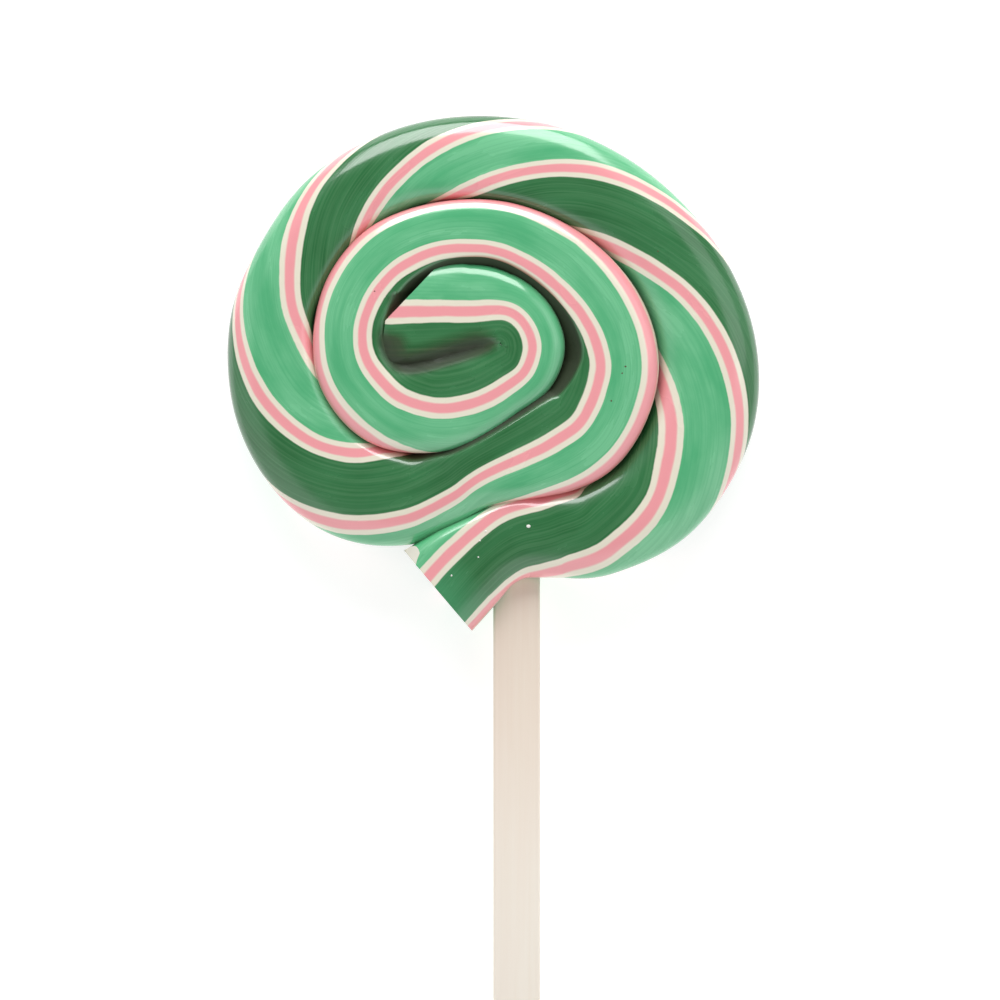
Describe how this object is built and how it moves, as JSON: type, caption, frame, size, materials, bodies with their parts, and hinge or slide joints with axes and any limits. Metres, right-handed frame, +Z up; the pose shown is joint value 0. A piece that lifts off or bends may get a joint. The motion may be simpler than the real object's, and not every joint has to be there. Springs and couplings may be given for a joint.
{
  "type": "swirl lollipop",
  "caption": "Flat hand-rolled lollipop: a striped, twisted rope of hard sugar coiled into a disc with a short cut tail, on a flat-faced wooden stick.",
  "frame": {"origin": "on the flat back of the candy, at the middle of the disc's widest span, level with the surface it lies on", "axes": "+Z up through the thickness, out of the patterned side; -Y along the stick, from the candy to its free end; +X to the right as the patterned side is seen with the stick pointing down"},
  "size_m": [0.0638, 0.1502, 0.0116],
  "materials": {
    "hard_sugar": "gloss",
    "birch_wood": "matte"
  },
  "bodies": {
    "root": {"candy_swirl": "hard_sugar", "wooden_stick": "birch_wood"}
  },
  "joints": []
}
